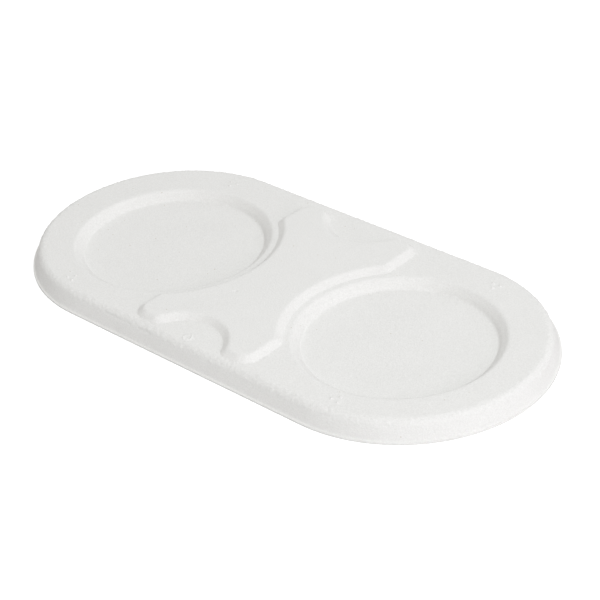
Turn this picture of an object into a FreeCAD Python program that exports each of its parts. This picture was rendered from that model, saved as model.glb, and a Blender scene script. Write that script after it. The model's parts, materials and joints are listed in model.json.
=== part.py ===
import FreeCAD, Part
import math
import os

import Sketcher

# Bagasse tapas tray: one sheet of moulded sugar-cane pulp, pressed between a cavity and a core.
# Origin: the middle of the footprint, on the surface the tray stands on. X runs along the tray,
# Y across it towards the back, Z up. Millimetres and degrees. The pressed relief is a little off
# the middle of the rim.
#
# The upper face of the sheet is one form and the lower face is the same form set in by the wall,
# so both come from moulded_form() and the tray is what lies between them.

SIZES = {
    # oblong rim, with a skirt that leans outwards down to a narrow flange
    "end_centre": 66.0,             # middle of the tray to the centre of an end arc
    "rim_radius": 60.3,             # end arc of the rim, where rim and skirt would meet sharp
    "rim_height": 9.0,              # rim above the table
    "skirt_angle": 19.8,            # lean of the skirt from upright
    "rim_fillet": 3.4,
    "flange_reach": 0.9,            # flange beyond the foot of the skirt
    "flange_fillet": 1.2,
    "wall": 0.9,                    # thickness of the pressed sheet
    # two round recesses
    "recess_shift": 1.2,            # recess centre, nearer the middle than the end arc's centre
    "recess_radius": 43.8,          # at the level of the rim
    "recess_depth": 4.2,
    "recess_angle": 44.5,           # lean of the recess wall from upright
    "recess_lip_fillet": 4.0,
    "recess_floor_fillet": 3.0,
    "recess_sideways": 1.2,         # the pair of recesses sits this far right of the tray's middle
    "recess_forward": 2.6,          # and this far in front of it
    # raised platform between the recesses, with four arms
    "platform_height": 2.5,         # above the rim
    "platform_angle": 49.7,         # lean of the platform walls from upright
    "ledge_width": 3.2,             # recess edge to the foot of the platform
    "arm_half_width": 33.9,         # foot of an arm's outer side from the middle
    "arm_setback": 4.2,             # foot of an arm's end from the edge of the rim
    "arm_corner_radius": 1.6,       # top edge, where an arm leaves the waist
    "arm_tip_radius": 5.1,          # top edge, outer corner of an arm's end
    "arm_inner_radius": 2.7,        # top edge, inner corner of an arm's end
    "notch_offset": 0.9,            # centre of the finger notch beyond the edge of the rim
    "notch_radius": 18.3,
    "platform_top_fillet": 2.0,
    "platform_foot_fillet": 0.6,
    "platform_sideways": 1.0,       # the platform sits this far left of the tray's middle
    "platform_forward": 1.3,        # and this far in front of it
}

UP = FreeCAD.Vector(0, 0, 1)
TOLERANCE = 1e-3
NO_INSET = "0"
WALL_INSET = "Sizes.wall"

# Geometry ids that Sketcher gives to its own axes, and its numbers for the ends of an edge.
X_AXIS = -1
Y_AXIS = -2
START = 1
END = 2
CENTRE = 3

document = FreeCAD.newDocument("bagasse_tapas_tray")


def make_sheet():
    sheet = document.addObject("Spreadsheet::Sheet", "Sizes")
    for row, (name, number) in enumerate(SIZES.items(), start=1):
        sheet.set("A%d" % row, name)
        sheet.set("B%d" % row, str(number))
        sheet.setAlias("B%d" % row, name)
    document.recompute()
    return sheet


sizes = make_sheet()


def value(expression):
    """The present value of an expression over the sheet's names."""
    result = sizes.evalExpression(expression)
    return float(getattr(result, "Value", result))


def tangent(angle):
    return "tan(Sizes.%s * 1deg)" % angle


def cosine(angle):
    return "cos(Sizes.%s * 1deg)" % angle


def shift_at_level(inset, angle):
    """How far a leaning wall, set in by inset, moves sideways where it meets its own set-in level."""
    return "%s * (1 - sin(Sizes.%s * 1deg)) / %s" % (inset, angle, cosine(angle))


RECESS_CENTRE = "Sizes.end_centre - Sizes.recess_shift"
NOTCH_CENTRE = "Sizes.rim_radius + Sizes.notch_offset"
PLATFORM_RUN = "Sizes.platform_height * " + tangent("platform_angle")


# ---------------------------------------------------------------- sketches

def new_sketch(body, name, level, shift_x="0", shift_y="0"):
    """A sketch on the body's own XY plane, raised to a level, its origin shifted along X and Y."""
    sketch = body.newObject("Sketcher::SketchObject", name)
    ground = [plane for plane in body.Origin.OriginFeatures if plane.Role == "XY_Plane"][0]
    sketch.AttachmentSupport = [(ground, "")]
    sketch.MapMode = "FlatFace"
    sketch.setExpression("AttachmentOffset.Base.x", shift_x)
    sketch.setExpression("AttachmentOffset.Base.y", shift_y)
    sketch.setExpression("AttachmentOffset.Base.z", level)
    return sketch


def dimension(sketch, kind, where, expression):
    """A driving dimension bound to the sheet."""
    constraint = Sketcher.Constraint(kind, *where, value(expression))
    index = sketch.addConstraint(constraint)
    sketch.setExpression("Constraints[%d]" % index, expression)


def offset_from_axis(sketch, kind, edge, point, side, expression):
    """Distance from the origin along X or Y, measured towards the side (+1 or -1) the point is on."""
    origin = (X_AXIS, START)
    target = (edge, point)
    first, second = (origin, target) if side > 0 else (target, origin)
    dimension(sketch, kind, first + second, expression)


def arc_between(centre, radius, first, last, counterclockwise):
    """A sketch arc from first to last. Arcs always run counterclockwise, so the ends may swap."""
    angles = [math.atan2(y - centre[1], x - centre[0]) for x, y in (first, last)]
    if not counterclockwise:
        angles.reverse()
    if angles[1] < angles[0]:
        angles[1] += 2 * math.pi
    circle = Part.Circle(FreeCAD.Vector(*centre, 0), UP, radius)
    return Part.ArcOfCircle(circle, *angles)


def line_between(first, last):
    return Part.LineSegment(FreeCAD.Vector(*first, 0), FreeCAD.Vector(*last, 0))


def stadium_sketch(body, name, level, radius_expression):
    """Two half circles joined by straight sides."""
    sketch = new_sketch(body, name, level)
    middle = value("Sizes.end_centre")
    radius = value(radius_expression)
    sketch.addGeometry([
        arc_between((middle, 0), radius, (middle, -radius), (middle, radius), True),
        line_between((middle, radius), (-middle, radius)),
        arc_between((-middle, 0), radius, (-middle, radius), (-middle, -radius), True),
        line_between((-middle, -radius), (middle, -radius)),
    ], False)
    for edge in range(4):
        sketch.addConstraint(Sketcher.Constraint("Tangent", edge, END, (edge + 1) % 4, START))
    sketch.addConstraint(Sketcher.Constraint("PointOnObject", 0, CENTRE, X_AXIS))
    sketch.addConstraint(Sketcher.Constraint("Symmetric", 0, CENTRE, 2, CENTRE, Y_AXIS))
    sketch.addConstraint(Sketcher.Constraint("Horizontal", 1))
    offset_from_axis(sketch, "DistanceX", 0, CENTRE, 1, "Sizes.end_centre")
    dimension(sketch, "Radius", (0,), radius_expression)
    return sketch


def recess_sketch(body, name, level, inset):
    """The two recess circles."""
    radius = "Sizes.recess_radius + " + shift_at_level(inset, "recess_angle")
    sketch = new_sketch(body, name, level, "Sizes.recess_sideways", "-Sizes.recess_forward")
    for side in (1, -1):
        centre = FreeCAD.Vector(side * value(RECESS_CENTRE), 0, 0)
        sketch.addGeometry(Part.Circle(centre, UP, value(radius)), False)
    sketch.addConstraint(Sketcher.Constraint("PointOnObject", 0, CENTRE, X_AXIS))
    sketch.addConstraint(Sketcher.Constraint("Symmetric", 0, CENTRE, 1, CENTRE, Y_AXIS))
    sketch.addConstraint(Sketcher.Constraint("Equal", 0, 1))
    offset_from_axis(sketch, "DistanceX", 0, CENTRE, 1, RECESS_CENTRE)
    dimension(sketch, "Radius", (0,), radius)
    return sketch


def platform_sketch(body, name, level, inset):
    """Foot of the platform: waist arcs round the recesses, four arms, and a notch at front and back.

    Every join is tangent. Each arm runs from the waist arc through a small corner, a straight side,
    the rounded end and an inner corner into the notch arc. The sketch's origin is the platform's
    own middle, so the arms and notches mirror about its axes.
    """
    shift = shift_at_level(inset, "platform_angle")
    waist_radius = "Sizes.recess_radius + Sizes.ledge_width + " + shift
    notch_radius = "Sizes.notch_radius + " + shift
    half_width = "Sizes.arm_half_width - " + shift
    half_length = "Sizes.rim_radius - Sizes.arm_setback - " + shift
    corner_radius = "Sizes.arm_corner_radius + %s - %s" % (PLATFORM_RUN, shift)
    tip_radius = "Sizes.arm_tip_radius + %s - %s" % (PLATFORM_RUN, shift)
    inner_radius = "Sizes.arm_inner_radius + %s - %s" % (PLATFORM_RUN, shift)

    # Start positions in the quarter with x and y above zero. The waist arcs start as if centred on
    # the platform too, and their own dimensions then move them.
    recess_x, notch_y = value(RECESS_CENTRE), value(NOTCH_CENTRE)
    waist, notch = value(waist_radius), value(notch_radius)
    side_x, end_y = value(half_width), value(half_length)
    corner, tip, inner = value(corner_radius), value(tip_radius), value(inner_radius)
    corner_x = side_x - corner
    corner_centre = (corner_x, math.sqrt((waist + corner) ** 2 - (recess_x - corner_x) ** 2))
    tip_centre = (side_x - tip, end_y - tip)
    inner_centre = (math.sqrt((notch + inner) ** 2 - (notch_y - end_y + inner) ** 2), end_y - inner)
    waist_share = waist / (waist + corner)
    notch_share = notch / (notch + inner)
    waist_end = (recess_x + (corner_centre[0] - recess_x) * waist_share, corner_centre[1] * waist_share)
    notch_end = (inner_centre[0] * notch_share, notch_y + (inner_centre[1] - notch_y) * notch_share)
    arm = [
        ("corner", corner_centre, waist_end, (side_x, corner_centre[1])),
        ("side", None, (side_x, corner_centre[1]), (side_x, tip_centre[1])),
        ("tip", tip_centre, (side_x, tip_centre[1]), (tip_centre[0], end_y)),
        ("end", None, (tip_centre[0], end_y), (inner_centre[0], end_y)),
        ("inner", inner_centre, (inner_centre[0], end_y), notch_end),
    ]
    radii = {"corner": corner_radius, "tip": tip_radius, "inner": inner_radius,
             "waist": waist_radius, "notch": notch_radius}

    def mirrored(point, side_of_x, side_of_y):
        return (point[0] * side_of_x, point[1] * side_of_y)

    # Counterclockwise round the outline: waist, arm, notch, arm, waist, arm, notch, arm.
    path = []
    for side_of_x, side_of_y in ((1, 1), (-1, 1), (-1, -1), (1, -1)):
        outwards = side_of_x * side_of_y > 0
        if outwards:
            path.append(("waist", (side_of_x * recess_x, 0), mirrored(waist_end, side_of_x, -side_of_y),
                         mirrored(waist_end, side_of_x, side_of_y), side_of_x, side_of_y))
        else:
            path.append(("notch", (0, side_of_y * notch_y), mirrored(notch_end, -side_of_x, side_of_y),
                         mirrored(notch_end, side_of_x, side_of_y), side_of_x, side_of_y))
        for kind, centre, first, last in (arm if outwards else reversed(arm)):
            ends = (first, last) if outwards else (last, first)
            middle = centre and mirrored(centre, side_of_x, side_of_y)
            path.append((kind, middle, mirrored(ends[0], side_of_x, side_of_y),
                         mirrored(ends[1], side_of_x, side_of_y), side_of_x, side_of_y))

    sketch = new_sketch(body, name, level, "-Sizes.platform_sideways", "-Sizes.platform_forward")
    ends_in_path_order = []
    for kind, centre, first, last, side_of_x, side_of_y in path:
        if centre is None:
            sketch.addGeometry(line_between(first, last), False)
            ends_in_path_order.append((START, END))
        else:
            convex = kind not in ("waist", "notch")
            sketch.addGeometry(arc_between(centre, value(radii[kind]), first, last, convex), False)
            ends_in_path_order.append((START, END) if convex else (END, START))
    for edge in range(len(path)):
        following = (edge + 1) % len(path)
        sketch.addConstraint(Sketcher.Constraint("Tangent", edge, ends_in_path_order[edge][1],
                                                 following, ends_in_path_order[following][0]))
    for edge, (kind, centre, first, last, side_of_x, side_of_y) in enumerate(path):
        if kind in radii:
            dimension(sketch, "Radius", (edge,), radii[kind])
        if kind == "waist":
            waist_sideways = " + %d * (Sizes.recess_sideways + Sizes.platform_sideways)" % side_of_x
            waist_forward = "Sizes.recess_forward - Sizes.platform_forward"
            offset_from_axis(sketch, "DistanceX", edge, CENTRE, side_of_x, RECESS_CENTRE + waist_sideways)
            offset_from_axis(sketch, "DistanceY", edge, CENTRE, -1, waist_forward)
        elif kind == "notch":
            sketch.addConstraint(Sketcher.Constraint("PointOnObject", edge, CENTRE, Y_AXIS))
            offset_from_axis(sketch, "DistanceY", edge, CENTRE, side_of_y, NOTCH_CENTRE)
        elif kind == "side":
            sketch.addConstraint(Sketcher.Constraint("Vertical", edge))
            offset_from_axis(sketch, "DistanceX", edge, START, side_of_x, half_width)
        elif kind == "end":
            sketch.addConstraint(Sketcher.Constraint("Horizontal", edge))
            offset_from_axis(sketch, "DistanceY", edge, START, side_of_y, half_length)
    return sketch


# ---------------------------------------------------------------- features

def pad(body, name, sketch, length, lean_inwards=None):
    feature = body.newObject("PartDesign::Pad", name)
    feature.Profile = sketch
    feature.setExpression("Length", length)
    if lean_inwards:
        feature.setExpression("TaperAngle", "-Sizes." + lean_inwards)
    document.recompute()
    return feature


def pocket(body, name, sketch, depth, lean_inwards):
    """Cuts downwards. The volume must fall, because a pocket that points away cuts nothing."""
    volume_before = body.Shape.Volume
    feature = body.newObject("PartDesign::Pocket", name)
    feature.Profile = sketch
    feature.setExpression("Length", depth)
    feature.setExpression("TaperAngle", "-Sizes." + lean_inwards)
    document.recompute()
    if feature.Shape.Volume > volume_before - TOLERANCE:
        raise RuntimeError(name + " cuts nothing")
    return feature


def fillet(body, name, radius, belongs):
    """Rounds every edge of the body so far for which belongs(edge) holds."""
    base = body.Tip
    chosen = ["Edge%d" % number
              for number, edge in enumerate(base.Shape.Edges, start=1) if belongs(edge)]
    if not chosen:
        raise RuntimeError(name + " finds no edge")
    feature = body.newObject("PartDesign::Fillet", name)
    feature.Base = (base, chosen)
    feature.setExpression("Radius", radius)
    document.recompute()
    return feature


def at_level(edge, level):
    box = edge.BoundBox
    return abs(box.ZMin - level) < TOLERANCE and abs(box.ZMax - level) < TOLERANCE


def spine_distance(edge):
    """Distance of the edge's middle from the line that joins the two end centres."""
    point = edge.valueAt((edge.FirstParameter + edge.LastParameter) / 2)
    return math.hypot(max(abs(point.x) - value("Sizes.end_centre"), 0), point.y)


def follows_outline(level, radius):
    """Picks the edges at a level that run round the tray at a distance from its spine."""
    return lambda edge: at_level(edge, level) and abs(spine_distance(edge) - radius) < TOLERANCE


def is_recess_circle(level, radius):
    def belongs(edge):
        round_edge = edge.Curve.TypeId == "Part::GeomCircle"
        return round_edge and at_level(edge, level) and abs(edge.Curve.Radius - radius) < TOLERANCE
    return belongs


def is_platform_foot(level, end_centre):
    """The rim's own edges at this level all reach an end arc, and the platform's do not."""
    def belongs(edge):
        reach = max(abs(vertex.Point.x) for vertex in edge.Vertexes)
        return at_level(edge, level) and reach < end_centre - TOLERANCE
    return belongs


def moulded_form(name, inset):
    """The solid under one face of the sheet, set in from the upper face by inset."""
    body = document.addObject("PartDesign::Body", name)
    level = "Sizes.rim_height - " + inset
    skirt_radius = "Sizes.rim_radius + Sizes.rim_height * %s - %s / %s" % (
        tangent("skirt_angle"), inset, cosine("skirt_angle"))
    rim_edge_radius = value("%s - (%s) * %s" % (skirt_radius, level, tangent("skirt_angle")))
    rim_level = value(level)

    outline = stadium_sketch(body, name + "_skirt_outline", "0", skirt_radius)
    pad(body, name + "_skirt", outline, level, "skirt_angle")
    fillet(body, name + "_rim_edge", "Sizes.rim_fillet - " + inset,
           follows_outline(rim_level, rim_edge_radius))

    foot = platform_sketch(body, name + "_platform_outline", level, inset)
    pad(body, name + "_platform", foot, "Sizes.platform_height", "platform_angle")
    top_level = rim_level + value("Sizes.platform_height")
    fillet(body, name + "_platform_top", "Sizes.platform_top_fillet - " + inset,
           lambda edge: at_level(edge, top_level))
    fillet(body, name + "_platform_foot", "Sizes.platform_foot_fillet + " + inset,
           is_platform_foot(rim_level, value("Sizes.end_centre")))

    circles = recess_sketch(body, name + "_recess_outline", level, inset)
    pocket(body, name + "_recesses", circles, "Sizes.recess_depth", "recess_angle")
    edge_radius = value("Sizes.recess_radius + " + shift_at_level(inset, "recess_angle"))
    floor_radius = edge_radius - value("Sizes.recess_depth * " + tangent("recess_angle"))
    floor_level = rim_level - value("Sizes.recess_depth")
    fillet(body, name + "_recess_floor", "Sizes.recess_floor_fillet + " + inset,
           is_recess_circle(floor_level, floor_radius))
    fillet(body, name + "_recess_lip", "Sizes.recess_lip_fillet - " + inset,
           is_recess_circle(rim_level, edge_radius))
    return body


def add_flange(body):
    """The narrow trimmed edge round the foot of the skirt, which the tray stands on."""
    skirt_at_flange = "Sizes.rim_radius + (Sizes.rim_height - Sizes.wall) * " + tangent("skirt_angle")
    outline = stadium_sketch(body, "flange_outline", "0", skirt_at_flange + " + Sizes.flange_reach")
    pad(body, "flange", outline, "Sizes.wall")
    fillet(body, "flange_root", "Sizes.flange_fillet",
           follows_outline(value("Sizes.wall"), value(skirt_at_flange)))


# ---------------------------------------------------------------- the tray

upper_form = moulded_form("upper_form", NO_INSET)
add_flange(upper_form)
core = moulded_form("core", WALL_INSET)

tray = document.addObject("Part::Cut", "tray")
tray.Label = "tray"
tray.Base = upper_form
tray.Tool = core
document.recompute()

for item in document.Objects:
    if "Invalid" in item.State or "Error" in item.State:
        raise RuntimeError("%s failed: %s" % (item.Label, item.State))
for sketch in document.findObjects("Sketcher::SketchObject"):
    if not sketch.FullyConstrained:
        raise RuntimeError(sketch.Label + " is not fully constrained")
if tray.Shape.isNull() or not tray.Shape.isValid() or len(tray.Shape.Solids) != 1:
    raise RuntimeError("the tray is not one valid solid")

os.makedirs("parts", exist_ok=True)
tray.Shape.exportStep("parts/%s.step" % tray.Label)
box = tray.Shape.optimalBoundingBox(True, False)
print("tray %.1f x %.1f x %.1f mm, %.2f cm3 of pulp" % (
    box.XLength, box.YLength, box.ZLength, tray.Shape.Volume / 1000))
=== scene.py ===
"""Bagasse tapas tray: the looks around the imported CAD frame. Metres, Z up, the tray stands on Z = 0.

The pressed sheet is rebuilt here as one fine mesh, because moulded pulp is never quite smooth: its
flats wave a little, its edges are fibrous and its mould leaves small marks. The form is the CAD
part's, so its sizes are repeated below, in millimetres. Only the recess walls and the flange are a
little crisper than in the CAD: the walls have two slopes, and the fillets are tighter.
"""
import collections
import functools
import json
import math
import random

import bmesh
import bpy
import numpy
from mathutils import Matrix, Vector, geometry, kdtree, noise


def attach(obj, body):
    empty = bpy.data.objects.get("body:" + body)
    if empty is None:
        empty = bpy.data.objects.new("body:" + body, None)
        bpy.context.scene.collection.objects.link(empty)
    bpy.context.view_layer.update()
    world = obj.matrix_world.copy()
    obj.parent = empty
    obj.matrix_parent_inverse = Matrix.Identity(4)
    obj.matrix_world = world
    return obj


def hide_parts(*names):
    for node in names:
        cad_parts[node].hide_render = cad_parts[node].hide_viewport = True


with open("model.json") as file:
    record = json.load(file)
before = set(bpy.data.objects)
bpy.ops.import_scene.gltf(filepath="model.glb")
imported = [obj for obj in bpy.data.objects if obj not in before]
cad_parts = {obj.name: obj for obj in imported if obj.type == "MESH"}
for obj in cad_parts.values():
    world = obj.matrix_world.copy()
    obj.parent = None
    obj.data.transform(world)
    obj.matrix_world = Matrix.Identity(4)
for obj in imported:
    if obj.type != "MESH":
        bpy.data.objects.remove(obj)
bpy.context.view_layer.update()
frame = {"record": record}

TRAY = "tray"
ROOT_BODY = "root"
MM = 0.001


def mount_place(name):
    """X, Y and Z of one of the record's mounts, in millimetres."""
    mount = next(mount for mount in frame["record"]["mounts"] if mount["name"] == name)
    return [metres / MM for metres in mount["pos_m"]]


# ---------------------------------------------------------------- sizes of the pressed form

END_CENTRE = 66.0               # middle of the tray to the centre of an end arc
RIM_RADIUS = 60.3               # end arc of the rim, where rim and skirt would meet sharp
RIM_HEIGHT = 9.0                # rim above the table
SKIRT_LEAN = math.radians(19.8)     # leans are measured from upright
RIM_FILLET = 3.4
FLANGE_REACH = 0.9              # flange beyond the foot of the skirt
FLANGE_FILLET = 0.8
TRIM_TAPER = 0.1                # the trimmed edge's upper corner lies this much further in
TRIM_FILLET = 0.1
WALL = 0.9                      # thickness of the pressed sheet
RECESS_RADIUS = 44.1            # at the level of the rim
RECESS_LOWER_HEIGHT = 1.8       # the lowest part of the recess wall is steeper than the rest
RECESS_LOWER_LEAN = math.radians(36)
RECESS_UPPER_LEAN = math.radians(47.3)
RECESS_WALL_BEND = 3.0          # radius of the bend between the two slopes
RECESS_LIP_FILLET = 2.4
RECESS_FLOOR_FILLET = 1.2
PLATFORM_HEIGHT = 2.5           # above the rim
PLATFORM_LEAN = math.radians(49.7)
PLATFORM_SIDEWAYS = 1.0         # the platform sits this far left of the tray's middle
PLATFORM_FORWARD = 1.3          # and this far in front of it
WAIST_RADIUS = 47.0             # foot of the platform's waist, round a recess's centre
ARM_HALF_WIDTH = 33.9           # foot of an arm's outer side from the middle
ARM_SETBACK = 4.2               # foot of an arm's end from the edge of the rim
ARM_CORNER_RADIUS = 1.6         # top edge, where an arm leaves the waist
ARM_TIP_RADIUS = 5.1            # top edge, outer corner of an arm's end
ARM_INNER_RADIUS = 2.7          # top edge, inner corner of an arm's end
NOTCH_OFFSET = 0.9              # centre of the finger notch beyond the edge of the rim
NOTCH_RADIUS = 18.3
PLATFORM_TOP_FILLET = 2.0
PLATFORM_FOOT_FILLET = 0.6

PLATFORM_TOP = RIM_HEIGHT + PLATFORM_HEIGHT
PLATFORM_RUN = PLATFORM_HEIGHT * math.tan(PLATFORM_LEAN)
PLATFORM_MIDDLE = Vector((-PLATFORM_SIDEWAYS, -PLATFORM_FORWARD))

# The recesses and their floors are where the record's mounts say.
RECESS_PLACES = [mount_place(name) for name in ("left_recess_floor", "right_recess_floor")]
RECESS_CENTRES = [Vector((x, y)) for x, y, _ in RECESS_PLACES]
RECESS_FLOOR = RECESS_PLACES[0][2]

# The mesh: step is the spacing of points along edges and walls, pitch the spacing over flats.
UPPER_STEP = 0.56
UPPER_PITCH = 1.15
LOWER_STEP = 1.4
LOWER_PITCH = 2.6
TABLE_PITCH = 1.2               # over the narrow face that stands on the table
FEWEST_ON_FILLET = 3
FEWEST_ON_ARC = 5
JITTER = 0.15                   # largest random shift of a point on a flat, as a share of the pitch
CLEARANCE = 0.6                 # its least distance from an edge or a mark, as a share of the pitch


# ---------------------------------------------------------------- profiles and outlines

def set_in(corners, fillets, inset):
    """The same section on the face below, inset away. Its last corner stays at its own level."""
    side = 1 if corners[1].x > corners[0].x else -1
    along = [(after - before).normalized() for before, after in zip(corners, corners[1:])]
    across = [side * inset * Vector((line.y, -line.x)) for line in along]
    result = [corners[0] + across[0]]
    radii = []
    for i, fillet in enumerate(fillets):
        line, following = along[i], along[i + 1]
        turn = line.x * following.y - line.y * following.x
        slide = (across[i + 1] - across[i]).dot(following * line.dot(following) - line)
        result.append(corners[i + 1] + across[i] - line * slide / turn ** 2)
        radii.append(fillet + inset if turn * side > 0 else fillet - inset)
    last = corners[-1] + across[-1]
    if along[-1].y:
        last -= along[-1] * (last.y - corners[-1].y) / along[-1].y
    return result + [last], radii


def straight(points, target, step):
    """The points from the last one on to the target, or the target alone if there are none yet."""
    if not points:
        return [(target, 0)]
    start = points[-1][0]
    rounding = 0.01                 # a run of whole steps gets no extra point
    count = math.ceil((target - start).length / step - rounding)
    return [(start.lerp(target, (i + 1) / count), 0) for i in range(count)]


def section(corners, fillets, inset, step):
    """Points down a section through a face of the sheet: straight runs with filleted corners.

    It starts where the first fillet starts, and stops after the last one if the section ends level.
    Each point is its distance from the outline's centre or edge, its level, and 1 on a fillet or 0.
    """
    corners, fillets = set_in([Vector(corner) for corner in corners], fillets, inset)
    points = []
    for before, corner, after, fillet in zip(corners, corners[1:], corners[2:], fillets):
        arriving, leaving = (corner - before).normalized(), (after - corner).normalized()
        turn = arriving.angle(leaving)
        reach = fillet * math.tan(turn / 2)
        start, end = corner - arriving * reach, corner + leaving * reach
        centre = corner + (leaving - arriving).normalized() * fillet / math.cos(turn / 2)
        points += straight(points, start, step)
        count = max(FEWEST_ON_FILLET, math.ceil(fillet * turn / step))
        for j in range(1, count + 1):
            share = j / count * turn
            spoke = (start - centre) * math.sin(turn - share) + (end - centre) * math.sin(share)
            points.append((centre + spoke / math.sin(turn), 1))
    if corners[-1].y != corners[-2].y:
        points += straight(points, corners[-1], step)
    return [(point.x, point.y, on_fillet) for point, on_fillet in points]


def skirt_section(inset, step):
    """From the rim down the skirt. The upper face goes on round the flange to its underside."""
    lean = math.tan(SKIRT_LEAN)
    rim = [(RECESS_RADIUS, RIM_HEIGHT), (RIM_RADIUS, RIM_HEIGHT)]
    if inset:
        return section(rim + [(RIM_RADIUS + RIM_HEIGHT * lean, 0)], [RIM_FILLET], inset, step)
    foot = RIM_RADIUS + (RIM_HEIGHT - WALL) * lean
    trim = foot + FLANGE_REACH
    return section(rim + [(foot, WALL), (trim - TRIM_TAPER, WALL), (trim, 0), (foot, 0)],
                   [RIM_FILLET, FLANGE_FILLET, TRIM_FILLET, TRIM_FILLET], inset, step)


def platform_section(inset, step):
    """From the rim up the platform's wall to its top."""
    return section([(-RIM_RADIUS, RIM_HEIGHT), (0, RIM_HEIGHT),
                    (PLATFORM_RUN, PLATFORM_TOP), (RIM_RADIUS, PLATFORM_TOP)],
                   [PLATFORM_FOOT_FILLET, PLATFORM_TOP_FILLET], inset, step)


def recess_section(inset, step):
    """From the rim down a recess's wall to its floor."""
    bend_level = RECESS_FLOOR + RECESS_LOWER_HEIGHT
    bend_radius = RECESS_RADIUS - (RIM_HEIGHT - bend_level) * math.tan(RECESS_UPPER_LEAN)
    floor_radius = bend_radius - RECESS_LOWER_HEIGHT * math.tan(RECESS_LOWER_LEAN)
    return section([(RIM_RADIUS, RIM_HEIGHT), (RECESS_RADIUS, RIM_HEIGHT), (bend_radius, bend_level),
                    (floor_radius, RECESS_FLOOR), (0, RECESS_FLOOR)],
                   [RECESS_LIP_FILLET, RECESS_WALL_BEND, RECESS_FLOOR_FILLET], inset, step)


def stadium_row(radius, level, step):
    """Points round the rim's outline. Their number doesn't depend on the radius, so rows line up."""
    arc_count = round(math.pi * RIM_RADIUS / step)
    line_count = round(2 * END_CENTRE / step)
    row = []
    for side in (1, -1):
        for i in range(arc_count):
            angle = (i / arc_count - 0.5) * math.pi
            row.append((side * (END_CENTRE + radius * math.cos(angle)),
                        side * radius * math.sin(angle), level))
        for i in range(line_count):
            row.append((side * END_CENTRE * (1 - 2 * i / line_count), side * radius, level))
    return row


def circle_row(centre, radius, level, step):
    """Points round a recess. The rows line up."""
    count = round(2 * math.pi * RECESS_RADIUS / step)
    angles = [2 * math.pi * i / count for i in range(count)]
    return [(centre.x + radius * math.cos(angle), centre.y + radius * math.sin(angle), level)
            for angle in angles]


# An arc round the platform: first and last are the directions from its centre to its two ends.
Arc = collections.namedtuple("Arc", "centre radius bulges first last")
# The centres of the arcs that shape one arm of the platform, from its waist to its finger notch.
ArmCentres = collections.namedtuple("ArmCentres", "waist corner tip inner notch")


def direction(start, target):
    return math.atan2(target.y - start.y, target.x - start.x)


def platform_arcs():
    """The arcs round the platform's foot, counterclockwise: waist, arm, notch, arm, and so on."""
    corner = ARM_CORNER_RADIUS + PLATFORM_RUN
    tip = ARM_TIP_RADIUS + PLATFORM_RUN
    inner = ARM_INNER_RADIUS + PLATFORM_RUN
    arm_end = RIM_RADIUS - ARM_SETBACK
    notch_middle = RIM_RADIUS + NOTCH_OFFSET

    def centres(side_x, side_y):
        waist = RECESS_CENTRES[side_x > 0]
        corner_x = PLATFORM_MIDDLE.x + side_x * (ARM_HALF_WIDTH - corner)
        rise = math.sqrt((WAIST_RADIUS + corner) ** 2 - (waist.x - corner_x) ** 2)
        spread = math.sqrt((NOTCH_RADIUS + inner) ** 2 - (notch_middle - arm_end + inner) ** 2)
        return ArmCentres(
            waist=waist,
            corner=Vector((corner_x, waist.y + side_y * rise)),
            tip=PLATFORM_MIDDLE + Vector((side_x * (ARM_HALF_WIDTH - tip), side_y * (arm_end - tip))),
            inner=PLATFORM_MIDDLE + Vector((side_x * spread, side_y * (arm_end - inner))),
            notch=PLATFORM_MIDDLE + Vector((0, side_y * notch_middle)))

    def arm(side_x, side_y):
        at = centres(side_x, side_y)
        sideways = 0 if side_x > 0 else math.pi
        endways = side_y * math.pi / 2
        return [Arc(at.corner, corner, True, direction(at.corner, at.waist), sideways),
                Arc(at.tip, tip, True, sideways, endways),
                Arc(at.inner, inner, True, endways, direction(at.inner, at.notch))]

    arcs = []
    for side in (1, -1):
        before, here, after = centres(side, -side), centres(side, side), centres(-side, side)
        arcs.append(Arc(here.waist, WAIST_RADIUS, False,
                        direction(before.waist, before.corner), direction(here.waist, here.corner)))
        arcs += arm(side, side)
        arcs.append(Arc(here.notch, NOTCH_RADIUS, False,
                        direction(here.notch, here.inner), direction(after.notch, after.inner)))
        arcs += [arc._replace(first=arc.last, last=arc.first) for arc in reversed(arm(-side, side))]
    return arcs


def platform_row(inwards, level, step):
    """Points round the platform, a distance inwards from its foot. The rows line up."""

    def on_arc(arc, angle):
        grow = -inwards if arc.bulges else inwards
        return arc.centre + (arc.radius + grow) * Vector((math.cos(angle), math.sin(angle)))

    whole_turn = 2 * math.pi
    arcs = platform_arcs()
    row = []
    for arc, following in zip(arcs, arcs[1:] + arcs[:1]):
        if arc.bulges:
            sweep = (arc.last - arc.first) % whole_turn
        else:
            sweep = -((arc.first - arc.last) % whole_turn)
        count = max(FEWEST_ON_ARC, round(arc.radius * abs(sweep) / step))
        row += [on_arc(arc, arc.first + sweep * i / count) for i in range(count)]
        if arc.bulges and following.bulges:
            start, target = on_arc(arc, arc.last), on_arc(following, arc.last)
            apart = (following.centre - arc.centre).length_squared
            length = math.sqrt(apart - (following.radius - arc.radius) ** 2)
            count = max(1, round(length / step))
            row += [start.lerp(target, i / count) for i in range(count)]
    return [(point.x, point.y, level) for point in row]


# ---------------------------------------------------------------- the sheet's mesh

def inside(points, polygon):
    """Which of the points lie inside a closed polygon."""
    result = numpy.zeros(len(points), bool)
    for (x0, y0), (x1, y1) in zip(polygon, numpy.roll(polygon, -1, axis=0)):
        if y0 != y1:
            crosses = (points[:, 1] < y0) != (points[:, 1] < y1)
            result ^= crosses & (points[:, 0] < x0 + (points[:, 1] - y0) * (x1 - x0) / (y1 - y0))
    return result


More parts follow.
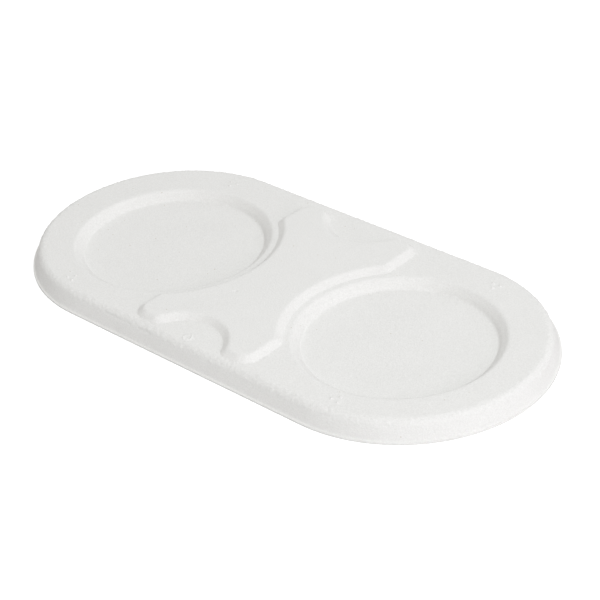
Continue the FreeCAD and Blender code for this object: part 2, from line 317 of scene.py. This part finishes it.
def scattered_points(border, pitch, chance):
    """Points over the box round a border, in staggered rows and each shifted a little."""
    low, high = border.min(axis=0), border.max(axis=0)
    row_height = pitch * math.sqrt(3) / 2
    points = []
    for j in range(math.ceil((high[1] - low[1]) / row_height)):
        for i in range(math.ceil((high[0] - low[0]) / pitch)):
            points.append((low[0] + (i + j % 2 / 2 + chance.uniform(-JITTER, JITTER)) * pitch,
                           low[1] + j * row_height + chance.uniform(-JITTER, JITTER) * pitch))
    return numpy.array(points)


def clear_points(points, taken, clearance):
    """The points that are at least clearance from all those taken."""
    tree = kdtree.KDTree(len(taken))
    for i, (x, y) in enumerate(taken):
        tree.insert((x, y, 0), i)
    tree.balance()
    kept = []
    for x, y in points:
        _, _, distance = tree.find((x, y, 0))
        if distance >= clearance:
            kept.append((x, y))
    return kept


class Skin:
    """Points and faces of the sheet, gathered row by row, with each point's fuzz. Millimetres."""

    def __init__(self):
        self.points = []
        self.faces = []
        self.fuzz = []

    def add(self, points, fuzz=0):
        start = len(self.points)
        self.points.extend(points)
        self.fuzz.extend([fuzz] * len(points))
        return list(range(start, len(self.points)))

    def strip(self, rows):
        """Quads between neighbouring closed rows."""
        for row, following in zip(rows, rows[1:]):
            for i in range(len(row)):
                self.faces.append((row[i - 1], row[i], following[i], following[i - 1]))

    def wall(self, make_row, profile, step, fuzz):
        """A strip whose rows follow a section. Its filleted parts are fuzzy."""
        rows = [self.add(make_row(distance, level, step), fuzz * on_fillet)
                for distance, level, on_fillet in profile]
        self.strip(rows)
        return rows

    def fill(self, outer, holes, pitch, marks=()):
        """Triangles over a flat between closed rows, with points scattered about pitch apart.

        Where marks are, their own points take the place of the scattered ones.
        """
        loops = [outer] + holes
        level = self.points[outer[0]][2]
        borders = [numpy.array([self.points[i][:2] for i in loop]) for loop in loops]

        def within(points):
            result = inside(points, borders[0])
            for hole in borders[1:]:
                result &= ~inside(points, hole)
            return result

        scattered = scattered_points(borders[0], pitch, random.Random(len(self.points)))
        on_borders = [point for border in borders for point in border]
        kept = clear_points(scattered[within(scattered)], on_borders + list(marks), CLEARANCE * pitch)
        kept += list(marks)
        kept_ids = self.add([(x, y, level) for x, y in kept])

        ids = [i for loop in loops for i in loop] + kept_ids
        coordinates = [Vector(point) for point in on_borders + kept]
        border_edges = []
        start = 0
        for loop in loops:
            border_edges += [(start + i, start + (i + 1) % len(loop)) for i in range(len(loop))]
            start += len(loop)
        whole_hull, least_distance, want_ids = 0, 1e-6, True
        corners, _, triangles, sources, _, _ = geometry.delaunay_2d_cdt(
            coordinates, border_edges, [], whole_hull, least_distance, want_ids)
        flat = numpy.array([(corner.x, corner.y) for corner in corners])
        middles = flat[numpy.array(triangles)].mean(axis=1)
        for triangle, belongs in zip(triangles, within(middles)):
            if belongs:
                self.faces.append(tuple(ids[sources[corner][0]] for corner in triangle))


def add_face(skin, inset, step, pitch, rim_marks=(), platform_marks=()):
    """One face of the sheet, set in from the upper face by inset. Returns its outermost row."""
    skirt_rows = skin.wall(stadium_row, skirt_section(inset, step), step, RIM_FUZZ)
    platform_rows = skin.wall(platform_row, platform_section(inset, step), step, RELIEF_FUZZ)
    skin.fill(platform_rows[-1], [], pitch, platform_marks)
    holes = [platform_rows[0]]
    for centre in RECESS_CENTRES:
        row_round_recess = functools.partial(circle_row, centre)
        rows = skin.wall(row_round_recess, recess_section(inset, step), step, RELIEF_FUZZ)
        skin.fill(rows[-1], [], pitch)
        holes.append(rows[0])
    skin.fill(skirt_rows[0], holes, pitch, rim_marks)
    return skirt_rows[-1]


# ---------------------------------------------------------------- marks and unevenness

# Places are X and Y, with Z on a slope or a step, and headings are degrees from X towards Y.
PIMPLE_GROUPS = ((-76.1, 48.9, -90), (75.2, 49.9, -90), (-75.7, -53.1, 80), (75.0, -51.9, 80))
PIMPLE_SPREAD = 2.1
PIMPLE_RADIUS = 0.5
PIMPLE_HEIGHT = 0.6
RING_MARK = Vector((-2.0, -56.0))
RING_RADIUS = 1.8
RING_WIDTH = 0.4
RING_HEIGHT = 0.45
RING_SHARE = 0.6                # the ring is broken: its height is this share of the full one
RING_CHANGE = 0.8               # plus or minus up to this much, by place
RING_SEED = 4
PLATFORM_CREASE = Vector((-7.8, -21.3, PLATFORM_TOP))
# The middle of each crease, its heading, length and depth.
CREASES = ((Vector((-38.7, -61.1, 6.7)), 0, 15.0, 0.3), (Vector((-22.9, -61.1, 6.7)), 0, 7.0, 0.3),
           (PLATFORM_CREASE, 60, 1.2, 0.4), (Vector((28.0, 39.1, 9.2)), 100, 1.6, 0.4))
CREASE_WIDTH = 0.45

# Round a mark the mesh is finer: how far from its middle, and how far apart its points are.
RING_MESH = (2.8, 0.28)
PIMPLE_MESH = (1.0, 0.2)
CREASE_MESH = (1.8, 0.3)

# Height, size and seed of the slow waves, which lift the whole sheet, and of the lumps on its faces.
WAVES = ((0.09, 31, 1), (0.04, 12, 2))
LUMPS = ((0.022, 2.8, 3), (0.016, 1.3, 4))
RIM_FUZZ = 0.3                  # the rim's outer edge is fibrous, the relief's edges much less so
RELIEF_FUZZ = 0.09
FUZZ_SIZE = 1.0
FUZZ_SEED = 5
FUZZ_LOWEST = 2 * WALL          # the flange and its trimmed edge have no fuzz
UNDERSIDE_ROUGHNESS = 1.6       # the underside's lumps are this many times as high
FLAT_FOOT = 1.5                 # below this level the unevenness fades out, and the tray stands flat
LEVEL_TOLERANCE = 0.01


def pimple_centres():
    """Three small pimples stand in a triangle at each of four places on the rim."""
    centres = []
    for x, y, heading in PIMPLE_GROUPS:
        for turn in (0, 120, 240):
            angle = math.radians(heading + turn)
            centres.append(Vector((x + PIMPLE_SPREAD * math.cos(angle),
                                   y + PIMPLE_SPREAD * math.sin(angle))))
    return centres


def disc_points(centre, radius, spacing):
    """Points on rings about spacing apart, round a place on the tray."""
    points = [(centre.x, centre.y)]
    for ring in range(1, round(radius / spacing) + 1):
        count = round(2 * math.pi * ring)
        for i in range(count):
            angle = 2 * math.pi * i / count
            points.append((centre.x + ring * spacing * math.cos(angle),
                           centre.y + ring * spacing * math.sin(angle)))
    return points


def rim_mark_points():
    """Extra mesh points where the rim's marks are, so that their shapes come out."""
    points = disc_points(RING_MARK, *RING_MESH)
    for centre in pimple_centres():
        points += disc_points(centre, *PIMPLE_MESH)
    return points


def bell(distance, width):
    """1 in the middle of a mark, and falling off smoothly."""
    return math.exp(-(distance / width) ** 2)


def crease_depth(point):
    """How deep the short creases press in at a point."""
    depth = 0.0
    for middle, heading, length, deepest in CREASES:
        along = Vector((math.cos(math.radians(heading)), math.sin(math.radians(heading)), 0))
        away = point - middle
        lengthways = away.dot(along)
        sideways = (away - lengthways * along).length
        beyond_end = max(0.0, abs(lengthways) - length / 2)
        depth += deepest * bell(math.hypot(sideways, beyond_end), CREASE_WIDTH)
    return depth


def mark_height(point, pimples):
    """How high the pimples and the ring mark stand at a place on the rim."""
    nearest = min((point - centre).length for centre in pimples)
    height = PIMPLE_HEIGHT * bell(nearest, PIMPLE_RADIUS)
    from_ring = (point - RING_MARK).length
    if from_ring < 3 * RING_RADIUS:     # further out the ring doesn't reach
        broken = RING_SHARE + RING_CHANGE * noise.noise(Vector((point.x, point.y, RING_SEED)))
        height += RING_HEIGHT * broken * bell(from_ring - RING_RADIUS, RING_WIDTH)
    return height


def uneven(point, size, seed):
    """Smooth noise between about -1 and 1, whose bumps are about size across."""
    seed_spacing = 17.3
    return noise.noise(point / size + Vector((0, 0, seed_spacing * seed)))


def uneven_place(vertex, fuzz, is_upper, pimples):
    """Where a point of the smooth form lies on the real, uneven sheet."""
    place = vertex.co.copy()
    wave = sum(height * uneven(place, size, seed) for height, size, seed in WAVES)
    lump = sum(height * uneven(place, size, seed) for height, size, seed in LUMPS)
    if place.z > FUZZ_LOWEST:
        lump += fuzz * uneven(place, FUZZ_SIZE, FUZZ_SEED)
    if is_upper:
        lump -= crease_depth(place)
        if place.z > RIM_HEIGHT - LEVEL_TOLERANCE:
            lump += mark_height(place.xy, pimples)
    else:
        lump *= UNDERSIDE_ROUGHNESS
    free = min(1.0, place.z / FLAT_FOOT)
    return place + free * (Vector((0, 0, wave)) + lump * vertex.normal)


# ---------------------------------------------------------------- the sheet as one piece

def new_object(name, data):
    """An object in the scene for a mesh, camera or lamp."""
    thing = bpy.data.objects.new(name, data)
    bpy.context.scene.collection.objects.link(thing)
    return thing


def pulp_sheet():
    """The whole sheet as one closed mesh, with its waves, lumps, fibrous edges and marks."""
    skin = Skin()
    outer_row = add_face(skin, 0, UPPER_STEP, UPPER_PITCH, rim_mark_points(),
                         disc_points(PLATFORM_CREASE, *CREASE_MESH))
    upper_count = len(skin.points)
    inner_row = add_face(skin, WALL, LOWER_STEP, LOWER_PITCH)
    skin.fill(outer_row, [inner_row], TABLE_PITCH)

    mesh = bpy.data.meshes.new("pulp_sheet")
    mesh.from_pydata(skin.points, [], skin.faces)
    form = bmesh.new()
    form.from_mesh(mesh)
    bmesh.ops.recalc_face_normals(form, faces=form.faces)
    form.normal_update()
    pimples = pimple_centres()
    moved = [uneven_place(vertex, skin.fuzz[vertex.index], vertex.index < upper_count, pimples)
             for vertex in form.verts]
    for vertex, place in zip(form.verts, moved):
        vertex.co = place * MM
    for face in form.faces:
        face.smooth = True
    loose = [vertex for vertex in form.verts if not vertex.link_faces]
    bmesh.ops.delete(form, geom=loose, context="VERTS")
    form.to_mesh(mesh)
    form.free()
    mesh.materials.append(pulp_material())
    piece = new_object("pulp_sheet", mesh)
    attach(piece, ROOT_BODY)
    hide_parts(TRAY)


# ---------------------------------------------------------------- materials

# A Mix node has sockets of one name for each kind of data. These are the ones for colours.
MIX_FACTOR, MIX_FIRST, MIX_SECOND, MIX_RESULT = 0, 6, 7, 2

# Sizes in the pulp are millimetres.
PULP_SHADE = (0.75, 0.7475, 0.731, 1)
PULP_LIGHT = (0.85, 0.8485, 0.834, 1)
SPECKLE = 0.4                   # how far it strays from halfway between the two, which are 1 apart
SPECKLE_SIZE = 0.55
BLOTCH = 0.08
BLOTCH_SIZE = 22.0
FLECK_COLOUR = (0.5, 0.44, 0.34, 1)
FLECK_STRENGTH = 0.75
FLECK_SPACING = 4.5
FLECK_SIZE = 0.32
FLECK_SHARE = 0.3               # share of the places for a fleck that have one
FIBRE_LENGTH = 2.6
FIBRE_THICKNESS = 0.34
FIBRE_TURNS = (0.2, 0.9, 1.7, 2.5)      # radians
FIBRE_DEPTH = 0.7               # as a share of the grain's
GRAIN_SIZE = 0.75
GRAIN_DEPTH = 0.17
ROUGHNESS_LOW = 0.84
ROUGHNESS_HIGH = 0.96
ROUGHNESS_SIZE = 1.1
PULP_SPECULAR = 0.25

FLOOR_HALF = 3.0                # metres
FLOOR_COLOUR = (0.8, 0.8, 0.8, 1)
WHITE = (1, 1, 1, 1)
FLOOR_LIFT = 0.3                # extra glow where the floor is seen, so that it shows white


class Nodes:
    """Short calls for building one material's node tree."""

    def __init__(self, material):
        self.tree = material.node_tree
        self.tree.nodes.clear()

    def add(self, kind, settings=None, **inputs):
        """A node with its settings, and with its inputs set or linked."""
        node = self.tree.nodes.new(kind)
        for name, setting in (settings or {}).items():
            setattr(node, name, setting)
        for name, source in inputs.items():
            self.connect(source, node.inputs[name.replace("_", " ")])
        return node

    def connect(self, source, socket):
        if isinstance(source, bpy.types.NodeSocket):
            self.tree.links.new(source, socket)
        else:
            socket.default_value = source

    def maths(self, operation, first, second):
        node = self.add("ShaderNodeMath", {"operation": operation})
        self.connect(first, node.inputs[0])
        self.connect(second, node.inputs[1])
        return node.outputs["Value"]

    def mixed(self, factor, first, second):
        """A colour between two others."""
        node = self.add("ShaderNodeMix", {"data_type": "RGBA"})
        self.connect(factor, node.inputs[MIX_FACTOR])
        self.connect(first, node.inputs[MIX_FIRST])
        self.connect(second, node.inputs[MIX_SECOND])
        return node.outputs[MIX_RESULT]

    def spread(self, source, low, high, from_low=0.25, from_high=0.75):
        """Spreads a value, by default the range that noise mostly keeps to, over low to high."""
        return self.add("ShaderNodeMapRange", Value=source, From_Min=from_low, From_Max=from_high,
                        To_Min=low, To_Max=high).outputs["Result"]


def new_material(name):
    material = bpy.data.materials.new(name)
    material.use_nodes = True
    return material


def pulp_material():
    """Matt moulded sugar-cane pulp: felted fibres, a fine speckle and a few darker flecks."""
    material = new_material("pulp")
    nodes = Nodes(material)
    place = nodes.add("ShaderNodeTexCoord").outputs["Object"]
    millimetres = nodes.add("ShaderNodeVectorMath", {"operation": "SCALE"}, Vector=place,
                            Scale=1 / MM).outputs["Vector"]

    def grain(size, detail=2.0):
        return nodes.add("ShaderNodeTexNoise", Vector=millimetres, Scale=1 / size,
                         Detail=detail).outputs["Fac"]

    def fibres(turn):
        """Noise drawn out into streaks along one direction."""
        drawn = nodes.add("ShaderNodeMapping", {"vector_type": "TEXTURE"}, Vector=millimetres,
                          Rotation=(0, 0, turn),
                          Scale=(FIBRE_LENGTH, FIBRE_THICKNESS, FIBRE_THICKNESS))
        return nodes.add("ShaderNodeTexNoise", Vector=drawn.outputs["Vector"], Scale=1.0,
                         Detail=1.0).outputs["Fac"]

    felt = fibres(FIBRE_TURNS[0])
    for turn in FIBRE_TURNS[1:]:
        felt = nodes.maths("MAXIMUM", felt, fibres(turn))
    height = nodes.maths("ADD", nodes.maths("MULTIPLY", felt, FIBRE_DEPTH), grain(GRAIN_SIZE, 3.0))
    bump = nodes.add("ShaderNodeBump", Strength=1.0, Distance=GRAIN_DEPTH * MM, Height=height)

    speckle = nodes.maths("ADD", nodes.spread(grain(SPECKLE_SIZE), -SPECKLE, SPECKLE),
                          nodes.spread(grain(BLOTCH_SIZE), -BLOTCH, BLOTCH))
    half_way = 0.5
    colour = nodes.mixed(nodes.maths("ADD", speckle, half_way), PULP_SHADE, PULP_LIGHT)
    cells = nodes.add("ShaderNodeTexVoronoi", Vector=millimetres, Scale=1 / FLECK_SPACING)
    fleck_edge = FLECK_SIZE / FLECK_SPACING
    near_fleck = nodes.spread(cells.outputs["Distance"], FLECK_STRENGTH, 0.0,
                              0.5 * fleck_edge, fleck_edge)
    draw = nodes.add("ShaderNodeSeparateColor", Color=cells.outputs["Color"]).outputs["Red"]
    chosen = nodes.maths("LESS_THAN", draw, FLECK_SHARE)
    colour = nodes.mixed(nodes.maths("MULTIPLY", near_fleck, chosen), colour, FLECK_COLOUR)
    roughness = nodes.spread(grain(ROUGHNESS_SIZE), ROUGHNESS_LOW, ROUGHNESS_HIGH)
    shader = nodes.add("ShaderNodeBsdfPrincipled", Base_Color=colour, Roughness=roughness,
                       Specular_IOR_Level=PULP_SPECULAR, Normal=bump.outputs["Normal"])
    nodes.add("ShaderNodeOutputMaterial", Surface=shader.outputs["BSDF"])
    return material


def floor_material():
    """Matt and pale for the light, and white, with the tray's shadow, where it is seen."""
    material = new_material("floor")
    nodes = Nodes(material)
    rays = nodes.add("ShaderNodeLightPath").outputs
    seen = rays["Is Camera Ray"]
    for kind in ("Is Glossy Ray", "Is Transmission Ray"):
        seen = nodes.maths("MAXIMUM", seen, rays[kind])
    paper = nodes.add("ShaderNodeBsdfDiffuse", Color=nodes.mixed(seen, FLOOR_COLOUR, WHITE))
    lift = nodes.add("ShaderNodeEmission", Strength=nodes.maths("MULTIPLY", seen, FLOOR_LIFT))
    both = nodes.add("ShaderNodeAddShader")
    nodes.connect(paper.outputs["BSDF"], both.inputs[0])
    nodes.connect(lift.outputs["Emission"], both.inputs[1])
    nodes.add("ShaderNodeOutputMaterial", Surface=both.outputs["Shader"])
    return material


# ---------------------------------------------------------------- stage, light and camera

# Angles are degrees: azimuth from the tray's front towards its right, and elevation upwards from
# the table. Lengths are metres.
CAMERA_AZIMUTH = 43.888
CAMERA_ELEVATION = 32.602
CAMERA_ROLL = -3.975
CAMERA_DISTANCE = 0.782981
AIM_RIGHT = 0.006786            # the camera aims this far right of the origin, as it sees it
AIM_UP = -0.000871              # and this far above it
FOCAL_LENGTH = 109.33956        # millimetres, as the sensor's width is
SENSOR_WIDTH = 36
FARTHEST_SEEN = 20

SOFTBOX_DISTANCE = 1.5
SOFTBOX_SIZE = 1.0
COOL = (0.97, 1.008, 1.024)
PINK = (1.02, 0.945, 1.04)
BLUE = (0.945, 1.02, 1.038)
# Name, azimuth, elevation, power in watts and colour.
SOFTBOXES = (("key_softbox", 60, 58, 9.45, COOL), ("right_softbox", 67, 32, 2.14, COOL),
             ("low_softbox", 90, 12, 3.58, PINK), ("back_softbox", 202, 32, 3.58, BLUE))
WORLD_COLOUR = (1.03, 0.9955, 0.9745, 1)
WORLD_STRENGTH = 0.5095


def outwards(azimuth, elevation):
    """The direction from the tray in which an azimuth and elevation point."""
    turn, rise = math.radians(azimuth), math.radians(elevation)
    return Vector((math.sin(turn) * math.cos(rise), -math.cos(turn) * math.cos(rise), math.sin(rise)))


def floor():
    mesh = bpy.data.meshes.new("floor")
    corners = [(x * FLOOR_HALF, y * FLOOR_HALF, 0) for x, y in ((-1, -1), (1, -1), (1, 1), (-1, 1))]
    mesh.from_pydata(corners, [], [(0, 1, 2, 3)])
    mesh.materials.append(floor_material())
    new_object("floor", mesh)


def camera():
    back = outwards(CAMERA_AZIMUTH, CAMERA_ELEVATION)
    azimuth, roll = math.radians(CAMERA_AZIMUTH), math.radians(CAMERA_ROLL)
    level = Vector((math.cos(azimuth), math.sin(azimuth), 0))
    right = math.cos(roll) * level + math.sin(roll) * back.cross(level)
    up = back.cross(right)
    data = bpy.data.cameras.new("camera")
    data.sensor_width = SENSOR_WIDTH
    data.lens = FOCAL_LENGTH
    data.clip_end = FARTHEST_SEEN
    view = new_object("camera", data)
    place = AIM_RIGHT * right + AIM_UP * up + CAMERA_DISTANCE * back
    view.matrix_world = Matrix.Translation(place) @ Matrix((right, up, back)).transposed().to_4x4()
    bpy.context.scene.camera = view


def softbox(name, azimuth, elevation, power, colour):
    data = bpy.data.lights.new(name, "AREA")
    data.color = colour
    data.shape = "DISK"
    data.size = SOFTBOX_SIZE
    data.energy = power
    lamp = new_object(name, data)
    out = outwards(azimuth, elevation)
    lamp.location = SOFTBOX_DISTANCE * out
    lamp.rotation_euler = out.to_track_quat("Z", "Y").to_euler()


def studio_world():
    world = bpy.data.worlds.new("studio")
    bpy.context.scene.world = world
    world.use_nodes = True
    background = world.node_tree.nodes["Background"]
    background.inputs["Color"].default_value = WORLD_COLOUR
    background.inputs["Strength"].default_value = WORLD_STRENGTH


pulp_sheet()
floor()
camera()
for settings in SOFTBOXES:
    softbox(*settings)
studio_world()
bpy.context.scene.view_settings.view_transform = "Standard"
